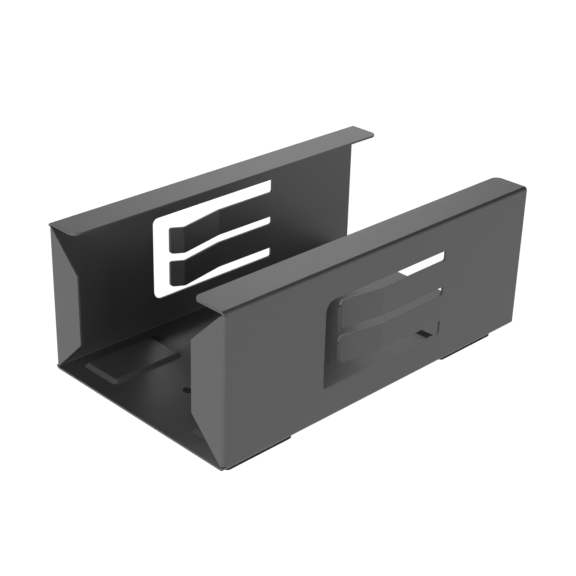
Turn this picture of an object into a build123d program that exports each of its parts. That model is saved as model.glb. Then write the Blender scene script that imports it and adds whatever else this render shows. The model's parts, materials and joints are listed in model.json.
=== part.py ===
"""Magnetic sheet-steel glove-box holder.

One folded steel tray with two inward lips, two inward front flanges and a sprung window in each wall.
Each window carries two long leaf fingers, and four rubber-jacketed block magnets sit in embossed
pockets under the base.

Frame, in millimetres: +X to the holder's right, +Y from its front to its open rear, +Z up.  The origin
is on the surface that the magnets stand on, under the middle of the tray.
"""

import os
from math import atan, degrees, hypot, radians, tan

from build123d import *

# ---------------------------------------------------------------- driving dimensions
LENGTH = 230.0  # front flange face to the open rear edge
WIDTH = 136.0  # across the outside of the walls
HEIGHT = 87.0  # underside of the base to the top of the lips
SHEET = 1.2  # sheet thickness
FOLD_RADIUS = 2.0  # outside radius of every fold

LIP_WIDTH = 22.0  # wall face to the lip's free edge
LIP_CORNER = 4.5  # radius of the lips' free corners
FLANGE_WIDTH = 23.3  # wall face to the front flange's free edge, with 45 degree ends
FLANGE_CORNER = 1.2  # radius where the 45 degree ends meet the free edge
RELIEF = 0.4  # slit that parts neighbouring folds at a corner

WINDOW_FRONT = 68.2  # front flange face to the window
WINDOW_REAR = 160.4  # front flange face to the finger roots
WINDOW_LOW = 18.2  # underside of the base to the window
WINDOW_HEIGHT = 50.8
NARROW_GAP = 5.8  # window edge to the nearer finger
MIDDLE_GAP = 4.9  # between the two fingers
FINGER_WIDTH = 15.95
NARROW_CORNER = 6.0  # window's front corner beside the narrow gap
WIDE_CORNER = 3.5  # window's front corner beside the wide gap
SLOT_CORNER = 1.0  # radius at the closed end of each gap

FINGER_TIP = {"left": 79.6, "right": 78.3}  # front flange face to the finger tips
FINGER_CREST = {"left": 87.0, "right": 85.0}  # front flange face to the innermost bend
FINGER_SLOPE = 10.4  # degrees, the ramp that leads to the crest
CREST_DEPTH = {"left": 5.4, "right": 4.4}  # how far the crest stands inside the wall
TIP_RETURN = {"left": 4.3, "right": 4.1}  # how far the tip turns back towards the wall from the crest
ROOT_TILT = 0.3  # how far the finger leans outward before the ramp
TIP_CORNER = 1.6  # radius of the finger tips
RAMP_BEND = 6.0  # mid-thickness radius where the ramp starts
CREST_BEND = 2.0  # mid-thickness radius at the crest
ROOT_CLEARANCE = 0.2  # joint line between a finger and the wall behind it

FOOT_HEIGHT = 9.8  # how far the magnets hold the base off the surface
FOOT_WIDTH = 27.4
FOOT_LENGTH = 46.2
FOOT_CORNER = 2.5
FOOT_ACROSS = 44.5  # middle of the tray to the middle of a foot
FOOT_ALONG = {"front": 34.5, "rear": 200.4}  # front flange face to the middle of a foot
RUBBER = 1.0  # jacket wall and floor
PLATE = 1.5  # steel pole plate above the magnet, and how far the foot reaches into its pocket
ADHESIVE = 0.5  # bonding pad between the foot and its pocket
ADHESIVE_INSET = 2.2  # foot outline to the pad's edge

POCKET_RISE = 2.0  # how far each foot's pocket is pressed up out of the base
POCKET_RUN = 2.3  # width of the pocket's sloping shoulder, seen from above
POCKET_CLEARANCE = 0.4  # between a foot and the hollow that it sits in
POCKET_SOFTENING = 0.9  # radius of the pocket's upper edges and its foot line

HOLE_RADIUS = 3.5  # screw holes in the base
HOLE_ALONG = 37.0  # front flange face, or rear edge, to the middle of a screw hole

# ---------------------------------------------------------------- places worked out from them
Y_FRONT = -LENGTH / 2
Y_REAR = LENGTH / 2
Z_BASE = FOOT_HEIGHT
Z_TOP = Z_BASE + HEIGHT
X_MID = WIDTH / 2 - SHEET / 2  # middle of a wall's thickness
Y_ROOT = Y_FRONT + WINDOW_REAR
Z_WINDOW = Z_BASE + WINDOW_LOW
WIDE_GAP = WINDOW_HEIGHT - NARROW_GAP - MIDDLE_GAP - 2 * FINGER_WIDTH
SIDES = {"left": -1, "right": 1}


def at_y(from_front):
    """Y of a place measured from the front flange face."""
    return Y_FRONT + from_front


def bent_strip(points, radius):
    """Flat face of sheet thickness that follows a bent centre line in the XY plane."""
    return trace(FilletPolyline(*points, radius=radius), SHEET)


def rounded_block(width, length, corner, z_low, z_high):
    """Upright block with rounded corners, centred on the Z axis."""
    outline = RectangleRounded(width, length, corner)
    return extrude(Plane.XY.offset(z_low) * outline, amount=z_high - z_low)


def rounded_outline(y_low, y_high, z_low, z_high, radii):
    """Rectangle drawn in a wall's plane; radii go round from the low rear corner to the low front one."""
    corners = [(y_high, z_low), (y_high, z_high), (y_low, z_high), (y_low, z_low)]
    return make_face(FilletPolyline(*corners, radius=radii, close=True))


def finger_levels(side):
    """Lower edge of each finger: the window in one wall is the other's turned end for end."""
    lower_gap = WIDE_GAP if side == "right" else NARROW_GAP
    lower = Z_WINDOW + lower_gap
    return {"lower": lower, "upper": lower + FINGER_WIDTH + MIDDLE_GAP}


def foot_places():
    """Name and centre of each magnet foot."""
    for end, along in FOOT_ALONG.items():
        for side, sign in SIDES.items():
            yield f"{end}_{side}", sign * FOOT_ACROSS, at_y(along)


# ---------------------------------------------------------------- the folded tray
def channel():
    """Base, walls and inward lips as one bent strip run from front to rear."""
    lip_edge = WIDTH / 2 - LIP_WIDTH
    z_lip = Z_TOP - SHEET / 2
    z_floor = Z_BASE + SHEET / 2
    points = [
        (-lip_edge, z_lip),
        (-X_MID, z_lip),
        (-X_MID, z_floor),
        (X_MID, z_floor),
        (X_MID, z_lip),
        (lip_edge, z_lip),
    ]
    section = bent_strip(points, FOLD_RADIUS - SHEET / 2)
    tray = extrude(Plane.XZ * section, amount=LENGTH / 2, both=True)
    corners = tray.edges().filter_by(Axis.Z).filter_by(lambda e: abs(e.center().X) < lip_edge + 0.1)
    corners = corners.filter_by(lambda e: e.center().Z > Z_TOP - 2 * SHEET)
    return fillet(corners, LIP_CORNER)


def front_flange(sign):
    """Front flange with its fold and 45 degree ends."""
    x_free = WIDTH / 2 - FLANGE_WIDTH
    y_mid = Y_FRONT + SHEET / 2
    overlap = 3 * FOLD_RADIUS
    points = [(sign * X_MID, Y_FRONT + overlap), (sign * X_MID, y_mid), (sign * x_free, y_mid)]
    strip = extrude(bent_strip(points, FOLD_RADIUS - SHEET / 2), amount=Z_TOP)

    z_low = Z_BASE + FOLD_RADIUS + RELIEF
    z_high = Z_TOP - FOLD_RADIUS - RELIEF
    x_shoulder = WIDTH / 2 - FOLD_RADIUS - RELIEF
    x_outer = WIDTH / 2 + SHEET
    outline = [
        (sign * x_outer, z_low),
        (sign * x_shoulder, z_low),
        (sign * x_free, Z_BASE + FLANGE_WIDTH),
        (sign * x_free, Z_TOP - FLANGE_WIDTH),
        (sign * x_shoulder, z_high),
        (sign * x_outer, z_high),
    ]
    face = make_face(Polyline(*outline, close=True))
    free_corners = face.vertices().filter_by(lambda v: abs(abs(v.X) - x_free) < 0.01)
    face = fillet(free_corners, FLANGE_CORNER)
    return strip & extrude(Plane.XZ * face, amount=LENGTH, both=True)


def fold_gap(sign):
    """Space cleared in the straight wall for the front fold and its corner slits."""
    z_low = Z_BASE + FOLD_RADIUS
    z_high = Z_TOP - FOLD_RADIUS
    block = Box(2 * FOLD_RADIUS, 2 * FOLD_RADIUS, z_high - z_low)
    return Pos(sign * WIDTH / 2, Y_FRONT, (z_low + z_high) / 2) * block


def window(side):
    """Cutter for one wall's window, with a joint line behind each finger."""
    high_corner, low_corner = NARROW_CORNER, WIDE_CORNER
    if side == "left":
        high_corner, low_corner = low_corner, high_corner
    radii = [SLOT_CORNER, SLOT_CORNER, high_corner, low_corner]
    outline = rounded_outline(at_y(WINDOW_FRONT), Y_ROOT, Z_WINDOW, Z_WINDOW + WINDOW_HEIGHT, radii)
    for z_low in finger_levels(side).values():
        root = Rectangle(2 * ROOT_CLEARANCE, FINGER_WIDTH + 2 * (SLOT_CORNER + ROOT_CLEARANCE))
        outline += Pos(Y_ROOT, z_low + FINGER_WIDTH / 2) * root
    cutter = extrude(Plane.YZ * outline, amount=2 * SHEET, both=True)
    return Pos(SIDES[side] * X_MID, 0, 0) * cutter


def tapered_block(spread, rise):
    """Block with a pocket's sloping sides, its lower outline larger than the foot by spread all round."""
    width = FOOT_WIDTH + 2 * spread
    length = FOOT_LENGTH + 2 * spread
    slope = degrees(atan(POCKET_RUN / POCKET_RISE))
    return extrude(RectangleRounded(width, length, FOOT_CORNER + spread), amount=rise, taper=slope)


def pocket_edges(tray, x, y, spread):
    """Upper rim and foot line of one pocket, on the base's upper side."""
    def beside(edge):
        middle = edge.center(CenterOf.BOUNDING_BOX)
        across = abs(middle.X - x) < FOOT_WIDTH / 2 + spread + 0.1
        along = abs(middle.Y - y) < FOOT_LENGTH / 2 + spread + 0.1
        above_base = middle.Z - Z_BASE - SHEET
        return across and along and min(abs(above_base), abs(above_base - POCKET_RISE)) < 0.01
    return tray.edges().filter_by(beside)


def folded_tray():
    """The whole sheet: tray, flanges, windows, pockets and screw holes."""
    tray = channel()
    for side, sign in SIDES.items():
        tray -= fold_gap(sign)
        tray += front_flange(sign)
        tray -= window(side)
    slope = POCKET_RUN / POCKET_RISE
    lift = SHEET * hypot(1, slope) / slope  # height between the two faces of the sloping shoulder
    form = POCKET_CLEARANCE + (lift - SHEET) * slope  # outline of the pressed-up outside, beyond the foot
    for _, x, y in foot_places():
        tray += Pos(x, y, Z_BASE + SHEET) * tapered_block(form, POCKET_RISE)
        tray = fillet(pocket_edges(tray, x, y, form), POCKET_SOFTENING)
        tray -= Pos(x, y, Z_BASE) * tapered_block(POCKET_CLEARANCE, POCKET_RISE)
    for y_hole in (Y_FRONT + HOLE_ALONG, Y_REAR - HOLE_ALONG):
        tray -= Pos(0, y_hole, Z_BASE) * Cylinder(HOLE_RADIUS, 4 * SHEET)
    return tray


# ---------------------------------------------------------------- leaf fingers
def finger(side, z_low):
    """One leaf: straight from its root, a ramp in to the crest, and a tip turned back out."""
    sign = SIDES[side]
    depth = CREST_DEPTH[side]
    crest = FINGER_CREST[side]
    tip = FINGER_TIP[side]
    ramp = (depth + ROOT_TILT) / tan(radians(FINGER_SLOPE))
    over = 2.0  # surplus beyond each end, trimmed off by the outline
    tilt = ROOT_TILT / (WINDOW_REAR - crest - ramp)
    leaf_line = [
        (WINDOW_REAR + over, tilt * over),
        (crest + ramp, -ROOT_TILT),
        (crest, depth),
        (tip - over, depth - TIP_RETURN[side] * (crest - tip + over) / (crest - tip)),
    ]
    points = [(sign * (X_MID - inward), at_y(along)) for along, inward in leaf_line]
    blank_low = z_low - SLOT_CORNER
    blank_height = FINGER_WIDTH + 2 * SLOT_CORNER
    section = bent_strip(points, [RAMP_BEND, CREST_BEND])
    strip = extrude(Plane.XY.offset(blank_low) * section, amount=blank_height)

    y_tip = at_y(tip)
    z_middle = z_low + FINGER_WIDTH / 2
    blade = rounded_outline(y_tip, Y_ROOT, z_low, z_low + FINGER_WIDTH, [0, 0, TIP_CORNER, TIP_CORNER])
    flare = Pos(Y_ROOT - SLOT_CORNER / 2, z_middle) * Rectangle(SLOT_CORNER, blank_height)
    for z_edge in (blank_low, blank_low + blank_height):
        flare -= Pos(Y_ROOT - SLOT_CORNER, z_edge) * Circle(SLOT_CORNER)
    outline = blade + flare
    return strip & extrude(Plane.YZ * outline, amount=WIDTH, both=True)


# ---------------------------------------------------------------- magnet feet
def foot_core(inset, z_low, z_high):
    """Upright piece inside a foot, its outline smaller than the foot by inset all round."""
    corner = max(FOOT_CORNER - inset, RUBBER / 2)
    return rounded_block(FOOT_WIDTH - 2 * inset, FOOT_LENGTH - 2 * inset, corner, z_low, z_high)


def magnet_foot(x, y):
    """Rubber jacket, magnet, pole plate and adhesive pad of one foot, from the surface up."""
    z_rim = Z_BASE + PLATE
    plate_inset = RUBBER + PLATE * POCKET_RUN / POCKET_RISE
    sole = rounded_block(FOOT_WIDTH, FOOT_LENGTH, FOOT_CORNER, 0, Z_BASE)
    sole = fillet(sole.edges().group_by(Axis.Z)[0], RUBBER / 2)
    body = sole + Pos(0, 0, Z_BASE) * tapered_block(0, PLATE)
    magnet = foot_core(RUBBER, RUBBER, Z_BASE)
    plate = foot_core(plate_inset, Z_BASE, z_rim)
    pieces = {
        "magnet_jacket": body - magnet - plate,
        "magnet_block": magnet,
        "pole_plate": plate,
        "adhesive_pad": foot_core(ADHESIVE_INSET, z_rim, z_rim + ADHESIVE),
    }
    return {name: Pos(x, y, 0) * piece for name, piece in pieces.items()}


def main():
    nodes = {"folded_tray": folded_tray()}
    for side in SIDES:
        for level, z_low in finger_levels(side).items():
            nodes[f"spring_finger_{side}_{level}"] = finger(side, z_low)
    for place, x, y in foot_places():
        for name, piece in magnet_foot(x, y).items():
            nodes[f"{name}_{place}"] = piece
    os.makedirs("parts", exist_ok=True)
    for name, shape in nodes.items():
        export_step(shape, f"parts/{name}.step")
    print(len(nodes), "nodes written")


main()
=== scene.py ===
"""Looks of the magnetic glove-box holder: powder coat, rubber, magnets, light, floor and camera."""

import json
import math

import bmesh
import bpy
from mathutils import Matrix, Vector


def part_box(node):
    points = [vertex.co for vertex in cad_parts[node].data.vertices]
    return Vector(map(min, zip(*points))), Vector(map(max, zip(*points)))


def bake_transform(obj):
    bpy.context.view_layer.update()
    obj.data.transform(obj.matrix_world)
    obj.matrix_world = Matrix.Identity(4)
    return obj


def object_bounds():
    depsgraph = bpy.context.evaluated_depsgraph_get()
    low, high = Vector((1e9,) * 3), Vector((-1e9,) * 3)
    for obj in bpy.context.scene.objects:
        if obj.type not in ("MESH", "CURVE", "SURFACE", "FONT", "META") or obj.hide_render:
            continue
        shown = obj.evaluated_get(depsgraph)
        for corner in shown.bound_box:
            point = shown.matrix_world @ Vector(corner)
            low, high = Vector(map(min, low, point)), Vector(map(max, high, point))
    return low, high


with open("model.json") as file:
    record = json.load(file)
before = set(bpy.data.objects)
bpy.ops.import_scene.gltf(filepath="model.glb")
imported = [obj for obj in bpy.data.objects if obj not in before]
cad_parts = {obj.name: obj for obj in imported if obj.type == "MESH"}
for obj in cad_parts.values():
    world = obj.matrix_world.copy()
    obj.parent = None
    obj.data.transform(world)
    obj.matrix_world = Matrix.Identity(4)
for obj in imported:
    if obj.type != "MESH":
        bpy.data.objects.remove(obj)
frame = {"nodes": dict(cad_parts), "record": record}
cad_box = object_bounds()

MM = 0.001
SHEET = 1.2 * MM  # thickness of the tray's sheet
CAD_HIGH = cad_box[1]  # the CAD model's corner of greatest x, y and z
WHITE = (1.0, 1.0, 1.0, 1.0)
SLOTS = {row["node"]: row["material_slot"] for row in frame["record"]["subparts"]}


# ---------------------------------------------------------------- node helpers
class Nodes:
    """A material's node tree with short ways to add and join nodes."""

    def __init__(self, name):
        self.material = bpy.data.materials.new(name)
        self.material.use_nodes = True
        self.tree = self.material.node_tree
        self.shader = self.tree.nodes["Principled BSDF"]
        self.place = self.add("ShaderNodeTexCoord").outputs["Object"]

    def add(self, kind, **settings):
        node = self.tree.nodes.new(kind)
        for key, value in settings.items():
            setattr(node, key, value)
        return node

    def join(self, source, target):
        self.tree.links.new(source, target)

    def noise(self, size, detail=2.0, roughness=0.5):
        """Noise whose features are about size metres across."""
        node = self.add("ShaderNodeTexNoise")
        node.inputs["Scale"].default_value = 1.0 / size
        node.inputs["Detail"].default_value = detail
        node.inputs["Roughness"].default_value = roughness
        self.join(self.place, node.inputs["Vector"])
        return node.outputs["Fac"]

    def spread(self, value, low, high, to_low=0.0, to_high=1.0):
        """Maps low..high to to_low..to_high."""
        node = self.add("ShaderNodeMapRange")
        for name, number in (("From Min", low), ("From Max", high), ("To Min", to_low), ("To Max", to_high)):
            node.inputs[name].default_value = number
        self.join(value, node.inputs["Value"])
        return node.outputs["Result"]

    def sum(self, first, second, weight):
        """first + second * weight."""
        node = self.add("ShaderNodeMath", operation="MULTIPLY_ADD")
        self.join(second, node.inputs[0])
        node.inputs[1].default_value = weight
        self.join(first, node.inputs[2])
        return node.outputs["Value"]

    def blend(self, factor, dark, light):
        """Colour from dark to light as factor goes from 0 to 1."""
        node = self.add("ShaderNodeMix", data_type="RGBA")
        self.join(factor, node.inputs["Factor"])
        node.inputs["A"].default_value = (*dark, 1.0)
        node.inputs["B"].default_value = (*light, 1.0)
        return node.outputs["Result"]

    def outside_of(self, half_x, half_y):
        """Distance outside (positive) or inside (negative) a rectangle centred on the origin."""
        apart = self.add("ShaderNodeSeparateXYZ")
        self.join(self.place, apart.inputs["Vector"])
        reach = []
        for axis, half in (("X", half_x), ("Y", half_y)):
            size = self.add("ShaderNodeMath", operation="ABSOLUTE")
            self.join(apart.outputs[axis], size.inputs[0])
            past = self.add("ShaderNodeMath", operation="SUBTRACT")
            self.join(size.outputs["Value"], past.inputs[0])
            past.inputs[1].default_value = half
            reach.append(past.outputs["Value"])
        furthest = self.add("ShaderNodeMath", operation="MAXIMUM")
        self.join(reach[0], furthest.inputs[0])
        self.join(reach[1], furthest.inputs[1])
        return furthest.outputs["Value"]

    def bump(self, height, distance, strength=1.0, edge_radius=0.0):
        """Sends a height to the shader's normal, over edges rounded by edge_radius."""
        node = self.add("ShaderNodeBump")
        node.inputs["Distance"].default_value = distance
        node.inputs["Strength"].default_value = strength
        self.join(height, node.inputs["Height"])
        if edge_radius:
            edge = self.add("ShaderNodeBevel", samples=6)
            edge.inputs["Radius"].default_value = edge_radius
            self.join(edge.outputs["Normal"], node.inputs["Normal"])
        self.join(node.outputs["Normal"], self.shader.inputs["Normal"])


# ---------------------------------------------------------------- materials
def powder_coat():
    """Charcoal satin powder coat: fine even pebble, a trace of mottle."""
    n = Nodes("powder_coat")
    mottle = n.noise(9 * MM, detail=3)
    grain = n.noise(0.7 * MM, detail=2)
    pebble = n.noise(0.45 * MM, detail=1, roughness=0.4)
    tone = n.sum(grain, mottle, 0.25)
    colour = n.blend(n.spread(tone, 0.40, 0.85), (0.0245, 0.0245, 0.0240), (0.0300, 0.0300, 0.0295))
    n.join(colour, n.shader.inputs["Base Color"])
    n.join(n.spread(n.sum(pebble, mottle, 0.3), 0.4, 0.9, 0.36, 0.42), n.shader.inputs["Roughness"])
    n.bump(n.sum(pebble, grain, 0.5), 0.02 * MM, strength=0.6, edge_radius=0.25 * MM)
    n.shader.inputs["Specular IOR Level"].default_value = 0.5
    return n.material


def jacket_rubber():
    """Matt black moulded rubber with a dusting of grain."""
    n = Nodes("jacket_rubber")
    cloud = n.noise(6 * MM, detail=4)
    grain = n.noise(0.35 * MM, detail=2)
    n.join(n.blend(n.spread(cloud, 0.3, 0.7), (0.007, 0.007, 0.007), (0.014, 0.014, 0.0135)),
           n.shader.inputs["Base Color"])
    n.join(n.spread(grain, 0.3, 0.7, 0.62, 0.80), n.shader.inputs["Roughness"])
    n.bump(grain, 0.03 * MM, strength=0.5, edge_radius=0.3 * MM)
    n.shader.inputs["Specular IOR Level"].default_value = 0.06
    return n.material


def ferrite():
    """Dark sintered ferrite with a ground surface."""
    n = Nodes("ferrite")
    grain = n.noise(0.5 * MM, detail=5, roughness=0.7)
    n.join(n.blend(grain, (0.025, 0.025, 0.028), (0.06, 0.06, 0.065)), n.shader.inputs["Base Color"])
    n.join(n.spread(grain, 0.3, 0.7, 0.5, 0.7), n.shader.inputs["Roughness"])
    n.bump(grain, 0.05 * MM, strength=0.5)
    return n.material


def zinc_steel():
    """Zinc-plated steel with rolling lines."""
    n = Nodes("zinc_steel")
    stretch = n.add("ShaderNodeMapping")
    stretch.inputs["Scale"].default_value = (30.0, 1.0, 1.0)
    n.join(n.place, stretch.inputs["Vector"])
    n.place = stretch.outputs["Vector"]
    lines = n.noise(12 * MM, detail=4)
    n.join(n.blend(lines, (0.42, 0.43, 0.44), (0.62, 0.63, 0.64)), n.shader.inputs["Base Color"])
    n.join(n.spread(lines, 0.3, 0.7, 0.28, 0.42), n.shader.inputs["Roughness"])
    n.bump(lines, 0.01 * MM, strength=0.4)
    n.shader.inputs["Metallic"].default_value = 1.0
    return n.material


def foam_adhesive():
    """Grey acrylic foam tape."""
    n = Nodes("foam_adhesive")
    cells = n.noise(0.4 * MM, detail=3)
    n.join(n.blend(cells, (0.06, 0.06, 0.06), (0.14, 0.14, 0.14)), n.shader.inputs["Base Color"])
    n.join(n.spread(cells, 0.3, 0.7, 0.7, 0.9), n.shader.inputs["Roughness"])
    n.bump(cells, 0.08 * MM, strength=0.6)
    return n.material


def dress_cad_nodes():
    """Gives every CAD node the detailed material of its slot."""
    makers = (powder_coat, jacket_rubber, ferrite, zinc_steel, foam_adhesive)
    looks = {maker.__name__: maker() for maker in makers}
    for name, piece in frame["nodes"].items():
        piece.data.materials.clear()
        piece.data.materials.append(looks[SLOTS[name]])
    return looks


# ---------------------------------------------------------------- finger roots
ROOT_FLARE = 1.0 * MM  # radius of the fillets beside each finger's root
ROOT_OVERLAP = 1.5 * MM  # how far the root strip lies on the finger
ROOT_REACH = 0.8 * MM  # how far it runs on over the wall
ROOT_PROUD = 0.02 * MM  # how far it stands off the sheet's faces
ROOT_STATIONS = 12  # steps along the strip, so that its flare curves smoothly


def root_half_height(before_root, finger_half):
    """Half the strip's height at a distance before the root, where the finger flares into the wall."""
    if before_root <= 0:
        return finger_half + ROOT_FLARE
    if before_root >= ROOT_FLARE:
        return finger_half
    rise = math.sqrt(ROOT_FLARE ** 2 - (ROOT_FLARE - before_root) ** 2)
    return finger_half + ROOT_FLARE - rise


def finger_root(side, level, coat):
    """Thin closed strip that carries the coat unbroken from the wall onto one finger."""
    low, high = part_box(f"spring_finger_{side}_{level}")
    y_root = high.y
    z_middle = (low.z + high.z) / 2
    finger_half = (high.z - low.z) / 2 - ROOT_FLARE
    wall_low, wall_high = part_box("folded_tray")
    outer = wall_high.x if side == "right" else wall_low.x
    inner = outer - math.copysign(SHEET, outer)
    faces_x = (outer + math.copysign(ROOT_PROUD, outer), inner - math.copysign(ROOT_PROUD, outer))

    mesh = bmesh.new()
    rings = []
    for step in range(ROOT_STATIONS + 1):
        y = y_root - ROOT_OVERLAP + (ROOT_OVERLAP + ROOT_REACH) * step / ROOT_STATIONS
        half = root_half_height(y_root - y, finger_half)
        corners = [(x, y, z_middle + way * half) for x, way in
                   ((faces_x[0], -1), (faces_x[0], 1), (faces_x[1], 1), (faces_x[1], -1))]
        rings.append([mesh.verts.new(corner) for corner in corners])
    for ring, following in zip(rings, rings[1:]):
        for i in range(4):
            mesh.faces.new((ring[i], ring[(i + 1) % 4], following[(i + 1) % 4], following[i]))
    mesh.faces.new(rings[0])
    mesh.faces.new(rings[-1])
    bmesh.ops.recalc_face_normals(mesh, faces=mesh.faces)
    data = bpy.data.meshes.new(f"finger_root_{side}_{level}")
    mesh.to_mesh(data)
    mesh.free()
    strip = bpy.data.objects.new(data.name, data)
    bpy.context.scene.collection.objects.link(strip)
    data.materials.append(coat)
    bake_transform(strip)


# ---------------------------------------------------------------- floor
FLOOR_SIZE = 12.0
FLOOR_TONE = (0.14, 0.14, 0.14)
FLOOR_TONE_LIGHT = (0.16, 0.16, 0.16)
FLOOR_GLOW = 0.97
FLOOR_SHADE_INSET = 14 * MM  # how far in under the part the floor still glows fully, before its painted shadow starts
FLOOR_SHADE_FADE = 16 * MM  # how much further in the glow takes to die out into the painted shadow under the part


def floor():
    """White paper floor that glows evenly round the part; underneath it the glow dies out as a painted
    shadow.
    """
    mesh = bpy.data.meshes.new("floor")
    half = FLOOR_SIZE / 2
    corners = [(-half, -half, 0), (half, -half, 0), (half, half, 0), (-half, half, 0)]
    mesh.from_pydata(corners, [], [(0, 1, 2, 3)])
    piece = bpy.data.objects.new("floor", mesh)
    bpy.context.scene.collection.objects.link(piece)
    n = Nodes("floor_paper_with_painted_shadow")
    paper = n.noise(4 * MM, detail=3)
    n.join(n.blend(paper, FLOOR_TONE, FLOOR_TONE_LIGHT), n.shader.inputs["Base Color"])
    n.shader.inputs["Roughness"].default_value = 0.9
    n.shader.inputs["Specular IOR Level"].default_value = 0.0
    n.shader.inputs["Emission Color"].default_value = WHITE
    outside = n.outside_of(CAD_HIGH.x, CAD_HIGH.y)
    # painted shadow: the floor's glow fades to nothing under the part, so the floor goes dark there
    glow_and_painted_shade = n.spread(outside, -FLOOR_SHADE_INSET - FLOOR_SHADE_FADE, -FLOOR_SHADE_INSET, 0.0, FLOOR_GLOW)
    n.join(glow_and_painted_shade, n.shader.inputs["Emission Strength"])
    mesh.materials.append(n.material)


# ---------------------------------------------------------------- studio
WALL_GLOW = 0.95
CEILING_GLOW = 0.075
FADE_FROM = 0.12  # upward part of a view direction at which the walls start to darken
FADE_TO = 0.35  # and at which the ceiling's tone is reached
SOFTBOXES = {  # place, size across and up (metres), power (watts)
    "behind_wide": ((-1.0, 1.0, 0.72), (1.0, 1.0), 3.2),
    "behind_left": ((-1.13, 0.75, 0.98), (0.6, 0.6), 0.5),
    "behind_high": ((-0.915, 0.98, 0.87), (0.4, 0.4), 1.0),
    "front": ((0.25, -1.4, 0.35), (0.8, 0.5), 33.0),
    "right_front": ((0.8, -0.35, 0.28), (0.4, 0.3), 5.5),
}


def softbox(name, place, aim, size, power):
    """Rectangular area light at place, pointed at aim."""
    light = bpy.data.lights.new(name, "AREA")
    light.shape = "RECTANGLE"
    light.size, light.size_y = size
    light.energy = power
    lamp = bpy.data.objects.new(name, light)
    bpy.context.scene.collection.objects.link(lamp)
    back = (Vector(place) - Vector(aim)).normalized()
    lamp.rotation_euler = back.to_track_quat("Z", "Y").to_euler()
    lamp.location = place


def surroundings():
    """White walls all round that darken towards the ceiling."""
    world = bpy.data.worlds.new("studio")
    world.use_nodes = True
    tree = world.node_tree
    place = tree.nodes.new("ShaderNodeTexCoord")
    apart = tree.nodes.new("ShaderNodeSeparateXYZ")
    fade = tree.nodes.new("ShaderNodeMapRange")
    fade.inputs["From Min"].default_value = FADE_FROM
    fade.inputs["From Max"].default_value = FADE_TO
    fade.inputs["To Min"].default_value = WALL_GLOW
    fade.inputs["To Max"].default_value = CEILING_GLOW
    tree.links.new(place.outputs["Generated"], apart.inputs["Vector"])
    tree.links.new(apart.outputs["Z"], fade.inputs["Value"])
    tree.links.new(fade.outputs["Result"], tree.nodes["Background"].inputs["Strength"])
    tree.nodes["Background"].inputs["Color"].default_value = WHITE
    bpy.context.scene.world = world


def studio():
    """Pale surroundings, soft lights behind on the left, a broad one in front and one on the right."""
    surroundings()
    middle = (0, 0, CAD_HIGH.z / 2)
    for name, (place, size, power) in SOFTBOXES.items():
        softbox(name, place, middle, size, power)
    bpy.context.scene.view_settings.view_transform = "Standard"


# ---------------------------------------------------------------- camera
CAMERA_AZIMUTH = math.radians(44.798)
CAMERA_ELEVATION = math.radians(26.568)
CAMERA_ROLL = math.radians(1.660)
CAMERA_PLACE = Vector((0.4633, -0.4723, 0.3766))
CAMERA_LENS = 82.77  # millimetres, like the sensor's width
SENSOR_WIDTH = 36.0


def camera():
    """Long lens above the right front corner, turned a little about its own axis."""
    data = bpy.data.cameras.new("camera")
    data.lens = CAMERA_LENS
    data.sensor_width = SENSOR_WIDTH
    data.clip_start = 0.01
    data.clip_end = 50.0
    rig = bpy.data.objects.new("camera", data)
    bpy.context.scene.collection.objects.link(rig)
    level = math.cos(CAMERA_ELEVATION)
    back = Vector((
        math.sin(CAMERA_AZIMUTH) * level,
        -math.cos(CAMERA_AZIMUTH) * level,
        math.sin(CAMERA_ELEVATION),
    ))
    right = Vector((0, 0, 1)).cross(back).normalized()
    up = back.cross(right)
    rolled_right = math.cos(CAMERA_ROLL) * right + math.sin(CAMERA_ROLL) * up
    rolled_up = math.cos(CAMERA_ROLL) * up - math.sin(CAMERA_ROLL) * right
    turn = Matrix((rolled_right, rolled_up, back)).transposed().to_4x4()
    rig.matrix_world = Matrix.Translation(CAMERA_PLACE) @ turn
    bpy.context.scene.camera = rig


looks = dress_cad_nodes()
for side in ("left", "right"):
    for level in ("lower", "upper"):
        finger_root(side, level, looks["powder_coat"])
floor()
studio()
camera()
